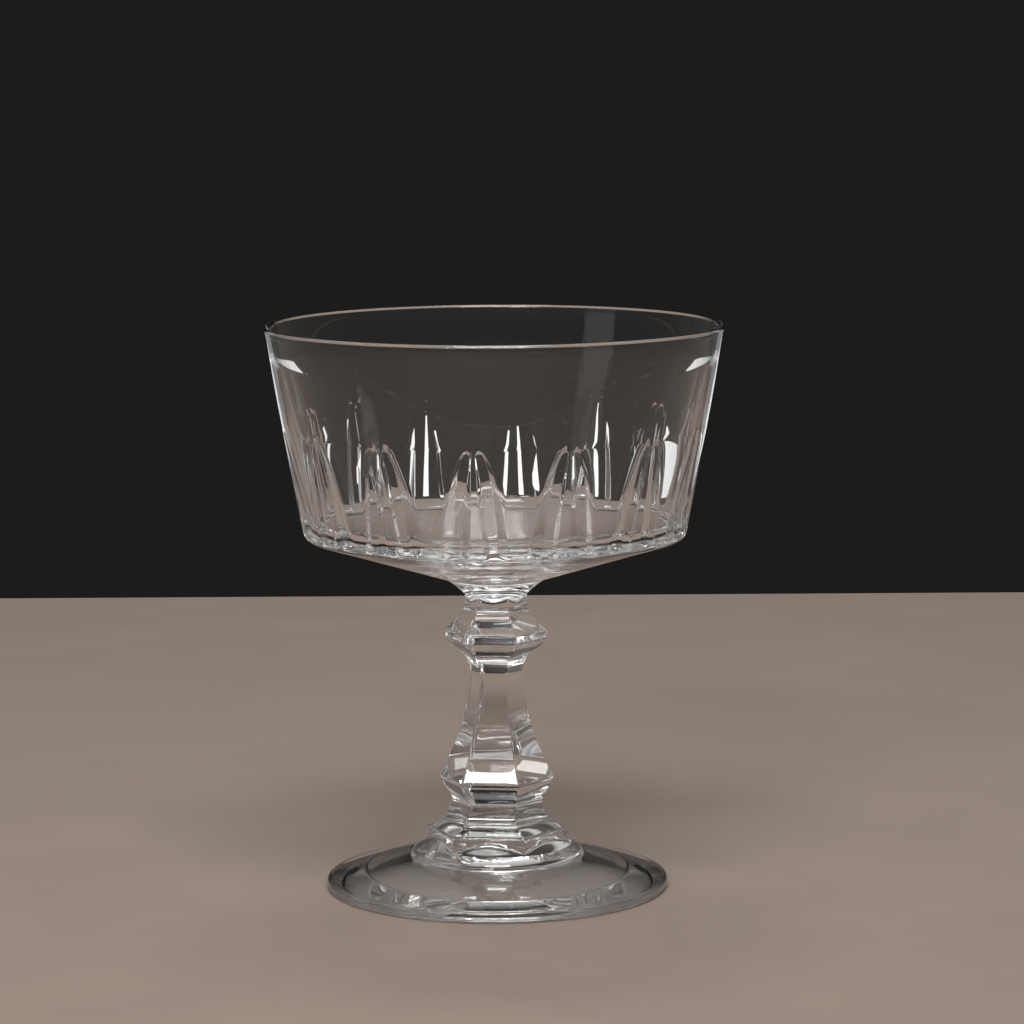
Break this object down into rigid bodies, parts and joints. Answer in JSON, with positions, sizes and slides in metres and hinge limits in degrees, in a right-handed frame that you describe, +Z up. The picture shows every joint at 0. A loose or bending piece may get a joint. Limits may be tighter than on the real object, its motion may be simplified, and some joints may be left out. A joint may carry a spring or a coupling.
{
  "type": "sherbet glass",
  "caption": "Stemmed crystal glass with a wide flaring bowl ringed by raised pointed ribs, a six-sided knopped stem and a round foot, for sherbet or drinks.",
  "frame": {"origin": "centre of the foot's resting plane, on the glass's upright axis", "axes": "+Z up along the axis, from the foot to the rim; one flat side of the six-sided stem faces -Y"},
  "size_m": [0.0968, 0.0968, 0.12],
  "materials": {
    "crystal": "fire-polished colourless lead crystal"
  },
  "bodies": {
    "root": {"bowl": "crystal", "bowl_collar": "crystal", "stem_knop": "crystal", "stem_baluster": "crystal", "stem_plinth": "crystal", "foot": "crystal"}
  },
  "joints": []
}
